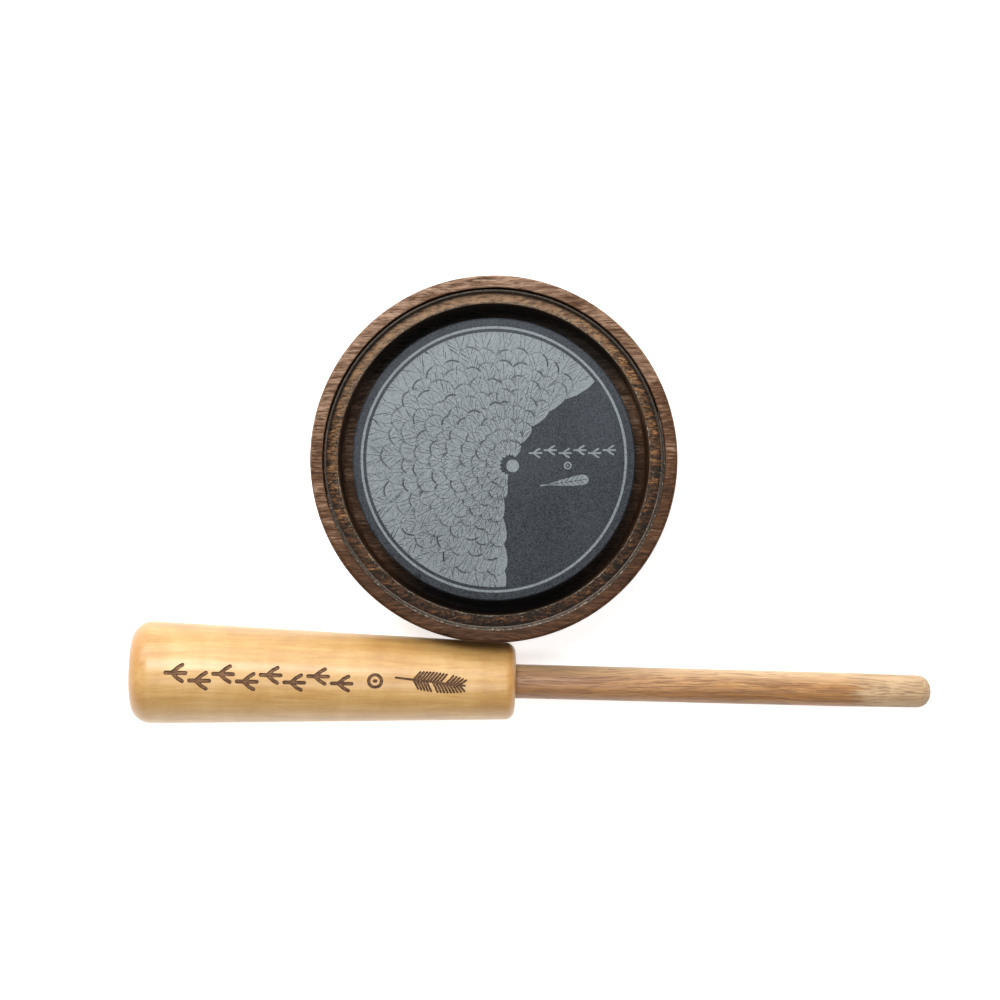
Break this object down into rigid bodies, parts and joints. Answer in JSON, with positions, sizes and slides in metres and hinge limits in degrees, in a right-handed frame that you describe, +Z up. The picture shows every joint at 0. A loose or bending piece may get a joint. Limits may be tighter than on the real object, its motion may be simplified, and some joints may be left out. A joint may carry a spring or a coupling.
{
  "type": "pot turkey call",
  "caption": "Round turned walnut pot call with a clear glass playing surface over a slate sound board, and its loose striker: a tapered maple handle with a round hardwood peg.",
  "frame": {"origin": "centre of the pot's underside, which stands on the table", "axes": "+Z up through the playing surface; +X along the striker, towards the tip of its peg; +Y away from the striker"},
  "size_m": [0.1973, 0.109, 0.025],
  "materials": {
    "walnut": "satin oiled walnut",
    "glass": "clear, with a frosted ground edge",
    "slate": "matte, with a paler engraving",
    "adhesive": "cured glue",
    "maple": "satin lacquered maple with a burnt-in mark",
    "hickory": "satin, left raw at the tip"
  },
  "bodies": {
    "pot": {"pot_body": "walnut", "pedestal": "walnut", "pedestal_adhesive": "adhesive", "sound_board": "slate", "sound_board_adhesive": "adhesive", "playing_surface": "glass", "surface_adhesive_ring": "adhesive"},
    "striker": {"striker_handle": "maple", "striker_peg": "hickory", "peg_adhesive": "adhesive"}
  },
  "joints": [
    {"name": "striker_lift", "type": "slide", "parent": "pot", "child": "striker", "axis": [0, 0, 1], "range_m": [0, 0.1]}
  ]
}
